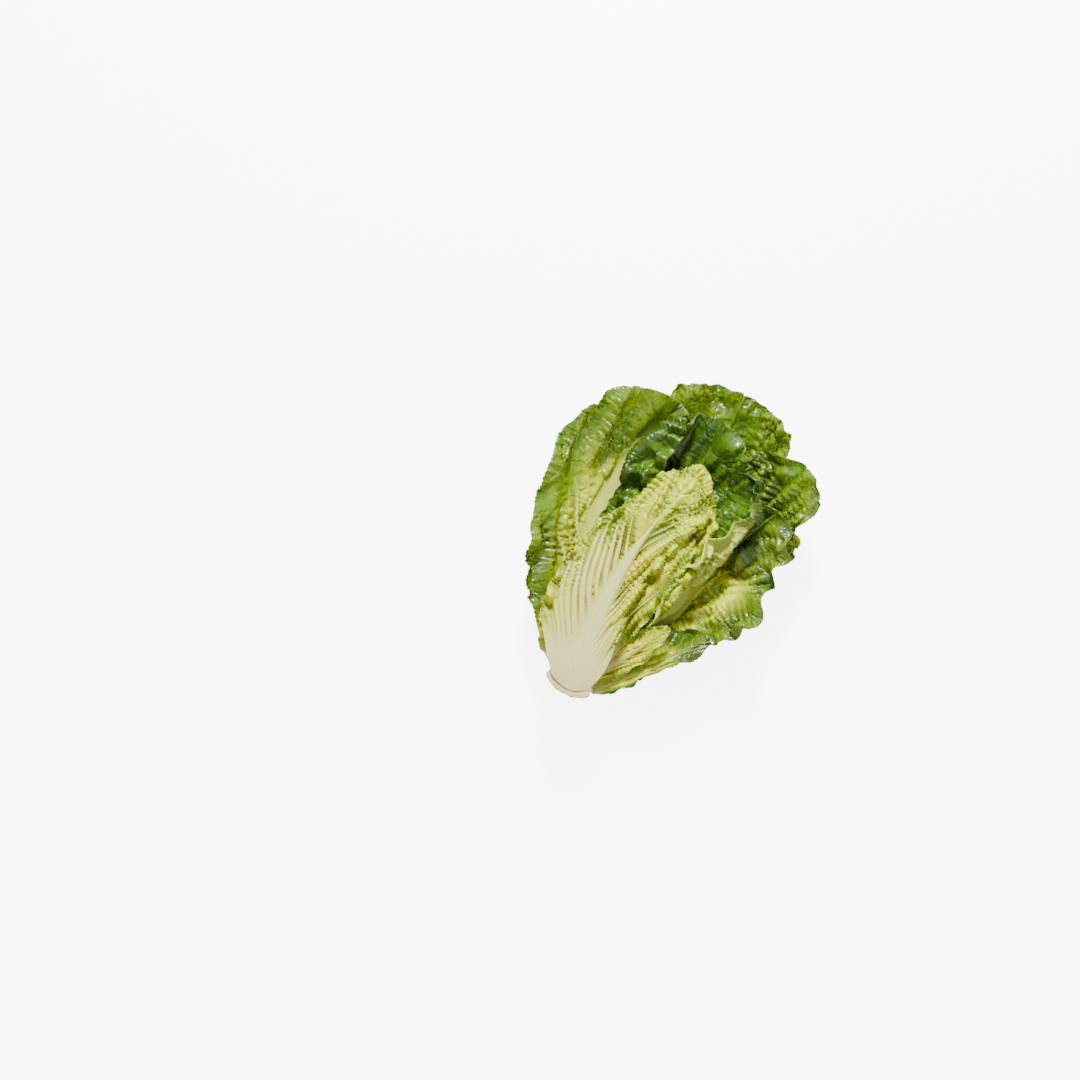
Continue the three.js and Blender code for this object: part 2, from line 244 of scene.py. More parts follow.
def pitch_at(y):
    return mix(STEM_PITCH, LAYER_PITCH, ease(y, 10, 90))


def nested_height(number, x, y):
    """Height of a leaf's underside. Each leaf keeps below the one inside it and below the stem."""
    gap = .4
    hollow = CUT_HEIGHT - (STEM_RADIUS + gap) * (1 - ease(y, 20, 1.75 * STEM_LENGTH))
    hollow = hollow + (x - STEM_X) ** 2 / (6 * STEM_RADIUS)
    height = bowl_height(LEAVES[0], x, y) + gap
    for i in range(1, number + 1):
        ceiling = height - pitch_at(y) * presence(LEAVES[i - 1], x, y)
        height = soft_min(bowl_height(LEAVES[i], x, y), ceiling)
        height = soft_min(height, hollow - gap - pitch_at(y))
    return np.maximum(height, pitch_at(y) * (len(LEAVES) - 1 - number))


# ---- one leaf's surface ----

def rib_phase(leaf, u, v):
    """A number that grows by one from each side rib to the next, on each side of the midrib."""
    steep, open_ = leaf["fan"]
    origins = np.linspace(-.9, 1.0, 400)
    phase = np.empty_like(v)
    for column in range(u.shape[1]):
        reach = abs(u[0, column]) ** 1.25
        advance = mix(steep, open_, ease(origins, -.1, .9)) * reach
        phase[:, column] = np.interp(v[:, column], origins + advance, origins)
    side_shift = np.where(u < 0, 0.0, .5)
    return (phase + .9) * leaf["laterals"][0] + side_shift


def rolled_margin(leaf, u, v, half):
    """A point's distance from the midrib in plan, its share in the bowl, its lift and its length of blade."""
    extra, radius, angle = np.zeros_like(v), np.ones_like(v), np.ones_like(v)
    for side, here in (("left", u < 0), ("right", u >= 0)):
        if side in leaf.get("roll", {}):
            blade, bend, degrees = leaf["roll"][side]
            extra = np.where(here, np.maximum(through_stations(blade, v), 0), extra)
            radius, angle = np.where(here, bend, radius), np.where(here, radians(degrees), angle)
    radius = radius * np.clip(extra / 6, 0, 1)
    length = np.abs(u) * (half + extra)
    start = half - radius
    past = np.maximum(length - start, 0)
    turned = np.minimum(past / np.maximum(radius, 1e-6), angle)
    straight = np.maximum(past - radius * angle, 0)
    bowl = np.minimum(length, start)
    reach = bowl + np.where(past > 0, radius * np.sin(turned) + straight * np.cos(turned), 0)
    lift = np.where(past > 0, radius * (1 - np.cos(turned)) + straight * np.sin(turned), 0)
    plain = radius < 1e-3
    return np.where(plain, length, reach), np.where(plain, length, bowl), np.where(plain, 0, lift), length


def laid_out(leaf, number, u, v):
    """The leaf's smooth surface, its lengths across and along, and how much of each reach is bowl."""
    rib_x = through_stations([point[0] for point in leaf["rib"]], v)
    rib_y = through_stations([point[1] for point in leaf["rib"]], v)
    ahead_x, ahead_y = np.gradient(rib_x, axis=0), np.gradient(rib_y, axis=0)
    step = np.hypot(ahead_x, ahead_y)
    ahead_x, ahead_y = ahead_x / step, ahead_y / step
    half = np.where(u < 0, through_stations(leaf["left"], v), through_stations(leaf["right"], v))
    reach, bowl, lift, length = rolled_margin(leaf, u, v, half)
    sweep = mix(*leaf["sweep"], v ** 3) * u ** 2
    if number > 0:
        torn = .5 * soft_noise(30 * u, 0 * v, 14, np.random.default_rng(leaf["seed"]))
        sweep = sweep + torn * (1 - ease(v, 0, .06)) + 7 * u ** 4 * (1 - ease(v, 0, .12))

    def plan(distance):
        distance = distance * np.sign(u)
        return rib_x + ahead_y * distance + ahead_x * sweep, rib_y - ahead_x * distance + ahead_y * sweep

    x, y = plan(reach)
    z = nested_height(number, *plan(bowl)) + lift + leaf["tip"] * ease(v, .7, 1) ** 1.5
    in_bowl = bowl / np.maximum(length, 1e-6)
    return np.stack([x, y, z], -1), length * np.sign(u), np.cumsum(step, axis=0), in_bowl


def face_normals(place):
    along, across = np.gradient(place, axis=0), np.gradient(place, axis=1)
    normal = np.cross(across, along)
    return normal / np.maximum(np.linalg.norm(normal, axis=-1, keepdims=True), 1e-9)


NEIGHBOURS = [((slice(None, -1), slice(None)), (slice(1, None), slice(None))),
              ((slice(None), slice(None, -1)), (slice(None), slice(1, None))),
              ((slice(None, -1), slice(None, -1)), (slice(1, None), slice(1, None))),
              ((slice(None, -1), slice(1, None)), (slice(1, None), slice(None, -1)))]


STIFFNESS = .045
EDGE_STIFFNESS = .06
OVERSHOOT = 1.6
HEAD_START = .6


def outgrow(place, growth_along, growth_across, start, stand, hold, steps=150):
    """Lets the blade grow larger than its ribs, so that it buckles into folds, blisters and ruffles."""
    both_ways = (growth_along + growth_across) / 2
    lengths, firsts = [], []
    for (a, b), growth in zip(NEIGHBOURS, (growth_along, growth_across, both_ways, both_ways)):
        firsts.append(np.linalg.norm(place[b] - place[a], axis=-1))
        lengths.append(firsts[-1] * (growth[a] + growth[b]) / 2)
    normal = face_normals(place)
    home = place + normal * stand[..., None]
    moved = home + normal * start[..., None]
    shares = np.zeros(place.shape[:2] + (1,))
    for a, b in NEIGHBOURS:
        shares[a] += 1
        shares[b] += 1
    for step in range(steps):
        grown = min(1.0, HEAD_START + .4 * (step + 1) / (.5 * steps))
        push = np.zeros_like(moved)
        for (a, b), first, length in zip(NEIGHBOURS, firsts, lengths):
            span = moved[b] - moved[a]
            long = np.linalg.norm(span, axis=-1)
            fix = span * (.5 * (long - mix(first, length, grown)) / np.maximum(long, 1e-9))[..., None]
            push[a] += fix
            push[b] -= fix
        moved += OVERSHOOT * push / shares
        middle = moved[1:-1, 1:-1]
        around = moved[:-2, 1:-1] + moved[2:, 1:-1] + moved[1:-1, :-2] + moved[1:-1, 2:]
        middle += STIFFNESS * (around / 4 - middle)
        for edge in (moved[:, 0], moved[:, -1], moved[0], moved[-1]):
            edge[1:-1] += EDGE_STIFFNESS * ((edge[:-2] + edge[2:]) / 2 - edge[1:-1])
        moved += hold[..., None] * (home - moved)
    return moved


def grown_leaf(leaf, number):
    """The crumpled surface of a leaf, and the values its material reads."""
    rng = np.random.default_rng(leaf["seed"])
    u, v = np.meshgrid(np.linspace(-1, 1, COLUMNS), np.linspace(0, 1, ROWS))
    place, across, along, in_bowl = laid_out(leaf, number, u, v)
    outward = np.abs(u)
    phase = rib_phase(leaf, u, v) + .3 * soft_noise(across, along, 40, rng) * outward ** .5
    slope = np.hypot(np.gradient(phase, axis=0) / np.maximum(np.gradient(along, axis=0), 1e-6),
                     np.gradient(phase, axis=1) / np.maximum(np.abs(np.gradient(across, axis=1)), 1e-6))
    spacing = 1 / np.maximum(slope, 1e-3)
    from_lateral = np.abs(phase - np.round(phase)) * spacing
    _, rib_width, whiteness, rib_reach, rib_height = leaf["laterals"]
    stoutness = rng.uniform(.5, 1.15, (2, 64))[(u > 0).astype(int), np.round(phase).astype(int) % 64]
    low_left = mix(.15, 1, np.where(u < 0, 1 - ease(v, .45, .75), .8 * (1 - ease(v, .2, .45))))
    lateral_width = .5 * rib_width * stoutness * (1 - .35 * outward) * low_left
    lateral = 1 - ease(from_lateral, .5 * lateral_width, 1.5 * lateral_width)
    lateral = lateral * (1 - ease(outward, rib_reach * stoutness - .1, rib_reach * stoutness + .12))
    midrib_width = mix(.34, leaf.get("stout", .02), ease(v, 0, .9)) * (.6 + .4 * (1 - v))
    midrib = 1 - ease(outward, .4 * midrib_width, midrib_width * 1.6)
    base_flesh = 1 - ease(v + .35 * outward * ease(v, .02, .3), leaf["core"] - .3, leaf["core"] + .05)
    # A stout leaf keeps its pale midrib further up; on the outer left leaf that band is partly a painted
    # sheen.
    fading = ease(v, .75, .95) if "stout" in leaf else ease(v, .6, .95)
    flesh = midrib * mix(1, whiteness, ease(v, .1, .7)) * (1 - fading)
    flesh = np.maximum(flesh, whiteness * lateral * mix(.3, 1, low_left) * (1 - .5 * ease(outward, .5, .9)))
    flesh = np.maximum(flesh, base_flesh)
    flesh = np.maximum(flesh, .85 * ease(1 - in_bowl, .01, .08) * (u > 0) * (1 - ease(v, .6, .9)))
    free = (1 - base_flesh) * (1 - midrib)
    blade = free * (1 - .8 * lateral)
    side_margin, tip_margin = ease(outward, .62, 1) * free, ease(v, .84, 1) * free
    puff, puff_start = leaf["puff"]
    size, drawn_out = leaf["blister"]
    loose = ease(v + .4 * outward, puff_start, puff_start + .35)
    lively = np.clip(1 + .45 * soft_noise(across, along, 3.5 * size, rng), .45, 1.8)
    swell = puff * blade * loose * mix(.5, 1, outward) * lively
    growth_across = 1 + swell + leaf["ruffle"] * tip_margin ** 2
    growth_along = 1 + swell * mix(1, .35, ease(drawn_out, 1, 3)) + leaf["ruffle"] * side_margin ** 2
    fold, stretch = phase * np.median(spacing) + 300 * (u > 0), 1.5 * np.abs(across) / drawn_out
    margin = np.maximum(side_margin, tip_margin)
    start = ((.13 * size * soft_noise(fold, stretch, size, rng) * lively
              + .15 * size * soft_noise(fold, stretch, 2 * size, rng)) * blade * loose
             + .2 * size * soft_noise(across, along, 1.6 * size, rng) * margin
             + .15 * size * soft_noise(across, along, 2.8 * size, rng) * margin
             + .05 * soft_noise(across, along, .5 * size, rng) * blade)
    stand = rib_height * (lateral - .4) * ease(outward, .1, .4) * (1 - base_flesh) * low_left
    hold = .30 * np.maximum(midrib, base_flesh) + .08 * lateral * (1 - .7 * outward) * low_left + .0015
    crumpled = outgrow(place, growth_along, growth_across, start, stand, np.clip(hold, 0, .4))
    # how far the crumple lifted the blade; the material darkens its low places as painted shade
    raised = np.sum((crumpled - place) * face_normals(place), axis=-1)
    green = np.maximum(ease(outward, .25, .95), ease(v, .45, .85))
    base = 1 - ease(v, .02, .2)
    thin_edge = ease(outward, .25, 1)
    return dict(place=crumpled, across=across, along=along, v=v, in_bowl=in_bowl > .98, phase=phase,
                flesh=flesh, base=base, stout=flesh * (1 - .9 * thin_edge), stub=base * (1 - thin_edge),
                margin=mix(leaf["green"], 1, green), raised=raised)


# ---- keeping the leaves apart ----

CELL = 2.0
CELLS = (150, 170)
CELLS_BEHIND = 15
BLADE_CLEARANCE = .9
BASE_CLEARANCE = 2.2


def cells_under(place):
    x = np.clip((place[..., 0] / CELL + CELLS[0] / 2).astype(int), 0, CELLS[0] - 1)
    y = np.clip((place[..., 1] / CELL + CELLS_BEHIND).astype(int), 0, CELLS[1] - 1)
    return x, y


def spread_out(values, reach):
    """Each value becomes the largest close by, then the edges of the raised patches are softened."""
    for kind in (np.maximum, np.add):
        for axis in (0, 1):
            padding = [(reach, reach) if axis == i else (0, 0) for i in (0, 1)]
            padded = np.pad(values, padding, mode="edge")
            parts = [np.take(padded, range(i, i + values.shape[axis]), axis=axis)
                     for i in range(2 * reach + 1)]
            values = kind.reduce(parts) / (1 if kind is np.maximum else len(parts))
    return values


def pressed_under(surface, ceiling):
    """Presses a leaf down where it would break through the leaves inside it."""
    place = surface["place"]
    near_base = 1 - ease(surface["v"], .06, .16)
    clearance = mix(BLADE_CLEARANCE, BASE_CLEARANCE, near_base)
    for _ in range(2):
        over = np.maximum(place[..., 2] + clearance - ceiling[cells_under(place)], 0)
        press = spread_out(over * surface["in_bowl"], 2)
        place[..., 2] -= mix(press, spread_out(press, 10), near_base)
    np.minimum.at(ceiling, cells_under(place), place[..., 2])


# ---- meshes ----

def group_socket(group, name, way, kind, value=None):
    socket = group.interface.new_socket(name=name, in_out=way, socket_type=kind)
    if value is not None:
        socket.default_value = value


def leaf_body_tree():
    """Turns a leaf's sheet into a closed body: pimpled, thicker along its ribs, and with its own material."""
    tree = bpy.data.node_groups.new("leaf body", "GeometryNodeTree")
    group_socket(tree, "Sheet", "INPUT", "NodeSocketGeometry")
    for name, value in (("Blade thickness", .00045), ("Rib thickness", .0017), ("Base thickness", .0023),
                        ("Pimple height", .00014), ("Pimples per metre", 420.0), ("Seed", 0.0)):
        group_socket(tree, name, "INPUT", "NodeSocketFloat", value)
    group_socket(tree, "Material", "INPUT", "NodeSocketMaterial")
    group_socket(tree, "Body", "OUTPUT", "NodeSocketGeometry")
    nodes, link = tree.nodes, tree.links.new
    inputs, outputs = nodes.new("NodeGroupInput"), nodes.new("NodeGroupOutput")

    def maths(operation, first, second):
        node = nodes.new("ShaderNodeMath")
        node.operation = operation
        for socket, value in zip(node.inputs, (first, second)):
            if isinstance(value, (int, float)):
                socket.default_value = value
            else:
                link(value, socket)
        return node.outputs[0]

    def along_normal(distance):
        node = nodes.new("ShaderNodeVectorMath")
        node.operation = "SCALE"
        link(nodes.new("GeometryNodeInputNormal").outputs[0], node.inputs[0])
        link(distance, node.inputs["Scale"])
        return node.outputs[0]

    def attribute(name):
        node = nodes.new("GeometryNodeInputNamedAttribute")
        node.data_type = "FLOAT"
        node.inputs["Name"].default_value = name
        return node.outputs["Attribute"]

    flesh = attribute("flesh")
    pimples = nodes.new("ShaderNodeTexNoise")
    pimples.noise_dimensions = "4D"
    link(inputs.outputs["Pimples per metre"], pimples.inputs["Scale"])
    link(inputs.outputs["Seed"], pimples.inputs["W"])
    link(nodes.new("GeometryNodeInputPosition").outputs[0], pimples.inputs["Vector"])
    height = maths("MULTIPLY", maths("SUBTRACT", pimples.outputs[0], .5), inputs.outputs["Pimple height"])
    height = maths("MULTIPLY", height, maths("SUBTRACT", 1.0, flesh))
    raised = nodes.new("GeometryNodeSetPosition")
    link(inputs.outputs["Sheet"], raised.inputs["Geometry"])
    link(along_normal(height), raised.inputs["Offset"])
    extra = maths("SUBTRACT", inputs.outputs["Rib thickness"], inputs.outputs["Blade thickness"])
    ribbed = maths("MULTIPLY", attribute("stout"), extra)
    thickness = maths("ADD", ribbed, inputs.outputs["Blade thickness"])
    more = maths("SUBTRACT", inputs.outputs["Base thickness"], thickness)
    thickness = maths("ADD", maths("MULTIPLY", attribute("stub"), more), thickness)
    upper = nodes.new("GeometryNodeExtrudeMesh")
    upper.inputs["Individual"].default_value = False
    link(raised.outputs[0], upper.inputs["Mesh"])
    link(along_normal(thickness), upper.inputs["Offset"])
    lower = nodes.new("GeometryNodeFlipFaces")
    link(raised.outputs[0], lower.inputs["Mesh"])
    both = nodes.new("GeometryNodeJoinGeometry")
    link(upper.outputs["Mesh"], both.inputs[0])
    link(lower.outputs[0], both.inputs[0])
    welded = nodes.new("GeometryNodeMergeByDistance")
    welded.inputs["Distance"].default_value = 1e-6
    link(both.outputs[0], welded.inputs["Geometry"])
    realized = nodes.new("GeometryNodeRealizeInstances")
    link(welded.outputs[0], realized.inputs[0])
    dressed = nodes.new("GeometryNodeSetMaterial")
    link(realized.outputs[0], dressed.inputs["Geometry"])
    link(inputs.outputs["Material"], dressed.inputs["Material"])
    link(dressed.outputs[0], outputs.inputs[0])
    return tree


LEAF_BODY = leaf_body_tree()


def sheet_mesh(name, surface):
    """A leaf's lower face as an open mesh, with the values that its body and material read."""
    place = surface["place"]
    rows, columns = place.shape[:2]
    number = np.arange(rows * columns).reshape(rows, columns)
    faces = np.stack([number[:-1, :-1].ravel(), number[:-1, 1:].ravel(),
                      number[1:, 1:].ravel(), number[1:, :-1].ravel()], -1)
    mesh = bpy.data.meshes.new(name)
    mesh.from_pydata(((place.reshape(-1, 3) + SHIFT) / 1000).tolist(), [], faces.tolist())
    for key in ("flesh", "base", "stout", "stub", "margin", "raised", "phase"):
        values = surface[key].ravel().astype(np.float32)
        mesh.attributes.new(key, "FLOAT", "POINT").data.foreach_set("value", values)
    uv = np.stack([surface["across"].ravel(), surface["along"].ravel()], -1) / 100
    mesh.uv_layers.new(name="blade").data.foreach_set("uv", uv[faces.ravel()].ravel())
    return mesh


def leaf_piece(name, surface, material, **sizes):
    sheet = bpy.data.objects.new(name + "_sheet", sheet_mesh(name + "_sheet", surface))
    bpy.context.scene.collection.objects.link(sheet)
    modifier = sheet.modifiers.new("body", "NODES")
    modifier.node_group = LEAF_BODY
    identifiers = {item.name: item.identifier for item in LEAF_BODY.interface.items_tree}
    modifier[identifiers["Material"]] = material
    for key, value in sizes.items():
        modifier[identifiers[key.replace("_", " ").capitalize()]] = value
    evaluated = sheet.evaluated_get(bpy.context.evaluated_depsgraph_get())
    mesh = bpy.data.meshes.new_from_object(evaluated)
    mesh.name = name
    bpy.data.objects.remove(sheet)
    mesh.polygons.foreach_set("use_smooth", [True] * len(mesh.polygons))
    corners = np.empty(3 * len(mesh.vertices), np.float32)
    mesh.vertices.foreach_get("co", corners)
    corners[2::3] = np.maximum(corners[2::3], BODY_CLEARANCE)
    mesh.vertices.foreach_set("co", corners)
    piece = bpy.data.objects.new(name, mesh)
    bpy.context.scene.collection.objects.link(piece)
    return piece


# ---- materials ----

def tint_group():
    """Leaf colour from flesh and margin, darkened in the crumple's hollows as painted shade, with fine net
    veins.
    """
    group = bpy.data.node_groups.new("leaf tint", "ShaderNodeTree")
    for name, value in (("Base colour", (.8, .8, .6, 1)), ("Flesh colour", (.8, .8, .6, 1)),
                        ("Inner colour", (.6, .65, .2, 1)),
                        ("Margin colour", (.3, .4, .05, 1)), ("Vein colour", (.7, .75, .3, 1))):
        group_socket(group, name, "INPUT", "NodeSocketColor", value)
    for name, value in (("Vein strength", .4), ("Painted hollow shade", .4), ("Mottle", .2)):
        group_socket(group, name, "INPUT", "NodeSocketFloat", value)
    group_socket(group, "Colour", "OUTPUT", "NodeSocketColor")
    group_socket(group, "Height", "OUTPUT", "NodeSocketFloat")
    nodes, link = group.nodes, group.links.new
    inputs, outputs = nodes.new("NodeGroupInput"), nodes.new("NodeGroupOutput")

    def attribute(name):
        node = nodes.new("ShaderNodeAttribute")
        node.attribute_name = name
        return node.outputs["Fac"]

    def blend(kind, factor, first, second):
        node = nodes.new("ShaderNodeMix")
        node.data_type, node.blend_type = "RGBA", kind
        for socket, value in ((node.inputs[0], factor), (node.inputs[6], first), (node.inputs[7], second)):
            if isinstance(value, (int, float, tuple)):
                socket.default_value = value
            else:
                link(value, socket)
        return node.outputs[2]

    def maths(kind, first, second=0.0):
        node = nodes.new("ShaderNodeMath")
        node.operation = kind
        for socket, value in zip(node.inputs, (first, second)):
            if isinstance(value, (int, float)):
                socket.default_value = value
            else:
                link(value, socket)
        return node.outputs[0]

    def ranged(value, low, high, to_low=0.0, to_high=1.0):
        node = nodes.new("ShaderNodeMapRange")
        node.interpolation_type = "SMOOTHSTEP"
        link(value, node.inputs[0])
        for index, number in zip(range(1, 5), (low, high, to_low, to_high)):
            node.inputs[index].default_value = number
        return node.outputs[0]

    def length_along(vector):
        node = nodes.new("ShaderNodeSeparateXYZ")
        link(vector, node.inputs[0])
        return node.outputs["Y"]

    uv = nodes.new("ShaderNodeUVMap")
    uv.uv_map = "blade"
    object_place = nodes.new("ShaderNodeTexCoord").outputs["Object"]
    mottle = nodes.new("ShaderNodeTexNoise")
    mottle.inputs["Scale"].default_value = 60
    mottle.inputs["Detail"].default_value = 4
    link(object_place, mottle.inputs["Vector"])
    veins = nodes.new("ShaderNodeTexVoronoi")
    veins.feature = "DISTANCE_TO_EDGE"
    veins.inputs["Scale"].default_value = 42
    bent = nodes.new("ShaderNodeTexNoise")
    bent.inputs["Scale"].default_value = 14
    link(uv.outputs[0], bent.inputs["Vector"])
    warp = nodes.new("ShaderNodeVectorMath")
    warp.operation = "MULTIPLY_ADD"
    link(bent.outputs["Color"], warp.inputs[0])
    warp.inputs[1].default_value = (.05, .05, 0)
    link(uv.outputs[0], warp.inputs[2])
    link(warp.outputs[0], veins.inputs["Vector"])
    net = ranged(veins.outputs["Distance"], .01, .06, 1, 0)
    along_ribs = nodes.new("ShaderNodeCombineXYZ")
    link(maths("MULTIPLY", attribute("phase"), 9.0), along_ribs.inputs["X"])
    link(maths("MULTIPLY", length_along(uv.outputs[0]), 4.0), along_ribs.inputs["Y"])
    fibres = nodes.new("ShaderNodeTexNoise")
    fibres.inputs["Scale"].default_value = 1.0
    fibres.inputs["Detail"].default_value = 3
    link(along_ribs.outputs[0], fibres.inputs["Vector"])
    flesh, margin, raised = attribute("flesh"), attribute("margin"), attribute("raised")
    green = blend("MIX", ranged(margin, .05, .9), inputs.outputs["Inner colour"],
                  inputs.outputs["Margin colour"])
    green = blend("MIX", maths("MULTIPLY", net, inputs.outputs["Vein strength"]), green,
                  inputs.outputs["Vein colour"])
    patch = maths("MULTIPLY", ranged(mottle.outputs["Fac"], .35, .7), inputs.outputs["Mottle"])
    green = blend("MULTIPLY", patch, green, (.5, .6, .3, 1))
    # painted shade: the colour darkens where the crumpled blade lies low, in its hollows
    hollow = maths("MULTIPLY", ranged(raised, .9, -.9), inputs.outputs["Painted hollow shade"])
    green = blend("MULTIPLY", hollow, green, (.42, .5, .12, 1))
    streak = maths("MULTIPLY", ranged(fibres.outputs["Fac"], .4, .7), .6)
    pale = blend("MIX", attribute("base"), inputs.outputs["Flesh colour"], inputs.outputs["Base colour"])
    pale = blend("MULTIPLY", streak, pale, (.82, .82, .55, 1))
    colour = blend("MIX", flesh, green, pale)
    link(colour, outputs.inputs["Colour"])
    grain = nodes.new("ShaderNodeTexNoise")
    grain.inputs["Scale"].default_value = 900
    link(object_place, grain.inputs["Vector"])
    fine = maths("ADD", maths("MULTIPLY", net, .3), maths("MULTIPLY", grain.outputs["Fac"], .2))
    link(maths("ADD", fine, maths("MULTIPLY", maths("MULTIPLY", fibres.outputs["Fac"], flesh), 2.5)),
         outputs.inputs["Height"])
    return group


LEAF_TINT = tint_group()


# hollow: the strength of the painted shade in the crumple's hollows
def leaf_material(name, flesh, inner, margin, vein, vein_strength, hollow, mottle, roughness=.38, coat=.3):
    material = bpy.data.materials.new(name)
    material.use_nodes = True
    nodes, link = material.node_tree.nodes, material.node_tree.links.new
    shader = nodes["Principled BSDF"]
    tint = nodes.new("ShaderNodeGroup")
    tint.node_tree = LEAF_TINT
    for key, colour in (("Base colour", CREAM), ("Flesh colour", flesh), ("Inner colour", inner),
                        ("Margin colour", margin), ("Vein colour", vein)):
        tint.inputs[key].default_value = (*colour, 1)
    tint.inputs["Vein strength"].default_value = vein_strength
    tint.inputs["Painted hollow shade"].default_value = hollow
    tint.inputs["Mottle"].default_value = mottle
    link(tint.outputs["Colour"], shader.inputs["Base Color"])
    bump = nodes.new("ShaderNodeBump")
    bump.inputs["Strength"].default_value = .35
    bump.inputs["Distance"].default_value = .0004
    link(tint.outputs["Height"], bump.inputs["Height"])
    link(bump.outputs["Normal"], shader.inputs["Normal"])
    shader.inputs["Roughness"].default_value = roughness
    shader.inputs["Specular IOR Level"].default_value = .35
    shader.inputs["Coat Weight"].default_value = coat
    shader.inputs["Coat Roughness"].default_value = .13
    shader.inputs["Subsurface Weight"].default_value = .35
    shader.inputs["Subsurface Radius"].default_value = (.8, 1.0, .25)
    shader.inputs["Subsurface Scale"].default_value = .003
    return material


def stem_material(name, pith, tanned):
    """Fibrous pale pith, tanned where the knife and the air have dried it."""
    material = bpy.data.materials.new(name)
    material.use_nodes = True
    nodes, link = material.node_tree.nodes, material.node_tree.links.new
    shader = nodes["Principled BSDF"]
    tan = nodes.new("ShaderNodeAttribute")
    tan.attribute_name = "tan"
    colour = nodes.new("ShaderNodeMix")
    colour.data_type = "RGBA"
    colour.inputs[6].default_value, colour.inputs[7].default_value = (*pith, 1), (*tanned, 1)
    link(tan.outputs["Fac"], colour.inputs[0])
    link(colour.outputs[2], shader.inputs["Base Color"])
    stretched = nodes.new("ShaderNodeMapping")
    stretched.inputs["Scale"].default_value = (700, 60, 700)
    link(nodes.new("ShaderNodeTexCoord").outputs["Object"], stretched.inputs["Vector"])
    fibres = nodes.new("ShaderNodeTexNoise")
    fibres.inputs["Scale"].default_value = 1
    link(stretched.outputs[0], fibres.inputs["Vector"])
    bump = nodes.new("ShaderNodeBump")
    bump.inputs["Strength"].default_value = .35
    bump.inputs["Distance"].default_value = .0004
    link(fibres.outputs["Fac"], bump.inputs["Height"])
    link(bump.outputs["Normal"], shader.inputs["Normal"])
    shader.inputs["Roughness"].default_value = .4
    shader.inputs["Subsurface Weight"].default_value = .35
    shader.inputs["Subsurface Radius"].default_value = (1, .9, .5)
    shader.inputs["Subsurface Scale"].default_value = .003
    return material


def linear(red, green, blue):
    """Linear colour of an 8-bit display colour."""
    return tuple(c / 12.92 if c <= .04045 else ((c + .055) / 1.055) ** 2.4
                 for c in (red / 255, green / 255, blue / 255))


CREAM = linear(200, 195, 130)
# The seventh number of each leaf material is the strength of its painted shade in the crumple's hollows.
MATERIALS = {
    "heart_leaf": leaf_material("pale heart leaf", CREAM, linear(196, 186, 0), linear(174, 186, 0),
                                linear(232, 232, 110), .1, 1, .15, .42, .12),
    "inner_leaf": leaf_material("inner leaf", CREAM, linear(208, 202, 10), linear(186, 196, 0),
                                linear(224, 230, 110), .1, .85, .2, .42, .12),
    # The middle leaf is a darker green of its own; its inner and margin colours are set darker still as
    # painted shade for the inside of its cup.
    "middle_leaf": leaf_material("middle leaf", linear(190, 204, 70), linear(110, 140, 0),
                                 linear(60, 92, 0), linear(146, 176, 20), .08, .8, .35),
    "outer_leaf": leaf_material("outer leaf", linear(214, 216, 110), linear(196, 204, 30),
                                linear(76, 102, 0), linear(180, 196, 46), .08, .85, .35),
    "stem": stem_material("stem pith", CREAM, linear(196, 160, 96)),
}


# ---- building the leaves and the stem ----

def stem_surface():
    """The halved stem: rounded below, flat on the cut face, tapering towards the leaves it carries."""
    rings, around = 110, 160
    far = STEM_LENGTH
    y = np.concatenate([[0, 0, 0], np.linspace(.3, far, rings - 6), np.full(3, far)])
    shrink = np.concatenate([[.02, .5, .86], np.ones(rings - 6), [.8, .4, .02]])
    along, turn = np.meshgrid(y, np.linspace(0, 2 * pi, around, endpoint=False), indexing="ij")
    rng = np.random.default_rng(2)
    uneven = (1 + .03 * soft_noise(STEM_RADIUS * turn, along, 12, rng)) * shrink[:, None]
    half = STEM_WIDTH * mix(.84, .78, ease(along, 0, 12)) * (1 - .3 * ease(along, 20, far))
    deep = STEM_RADIUS * np.sqrt(np.maximum(1 - (along / (far + 1)) ** 3, .02))
    deep = deep * mix(.86, 1, ease(along, 0, 5))
    x = half * uneven * np.cos(turn)
    z = deep * uneven * np.sin(turn)
    flat = soft_min(z, np.zeros_like(z), 3.5) - 2.0 * ease(along, 4, 40)
    rounded_end = 8 * (x / STEM_WIDTH) ** 2 * (1 - ease(along, 0, 30))
    torn = .6 * soft_noise(x, z, 9, rng) * (1 - ease(along, 0, 4))
    place = np.stack([STEM_X + x, along + rounded_end + torn,
                      CUT_HEIGHT + .4 + flat + .06 * soft_noise(x, along, 5, rng)], -1)
    place[..., 1] = np.maximum(place[..., 1], 0)
    left_edge = ease(-x / STEM_WIDTH, .55, .95) * (1 - ease(along, 16, 30))
    patchy = .6 + .5 * soft_noise(x, along, 8, rng)
    return place, np.clip(np.maximum(1 - ease(along, .5, 4), left_edge) * patchy, 0, 1)


def stem_piece(name, material):
    place, tan = stem_surface()
    rings, around = place.shape[:2]
    number = np.arange(rings * around).reshape(rings, around)
    after = np.roll(number, -1, axis=1)
    corners = (number[:-1], number[1:], after[1:], after[:-1])
    faces = np.stack([corner.ravel() for corner in corners], -1)
    mesh = bpy.data.meshes.new(name)
    caps = [number[0].tolist(), number[-1][::-1].tolist()]
    mesh.from_pydata(((place.reshape(-1, 3) + SHIFT) / 1000).tolist(), [], faces.tolist() + caps)
    work = bmesh.new()
    work.from_mesh(mesh)
    bmesh.ops.recalc_face_normals(work, faces=work.faces)
    work.to_mesh(mesh)
    work.free()
    tanned = mesh.attributes.new("tan", "FLOAT", "POINT")
    tanned.data.foreach_set("value", tan.ravel().astype(np.float32))
    mesh.polygons.foreach_set("use_smooth", [True] * len(mesh.polygons))
    mesh.materials.append(material)
    piece = bpy.data.objects.new(name, mesh)
    bpy.context.scene.collection.objects.link(piece)
    return piece


def belongs(piece, node):
    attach(piece, "root")
    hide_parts(node)


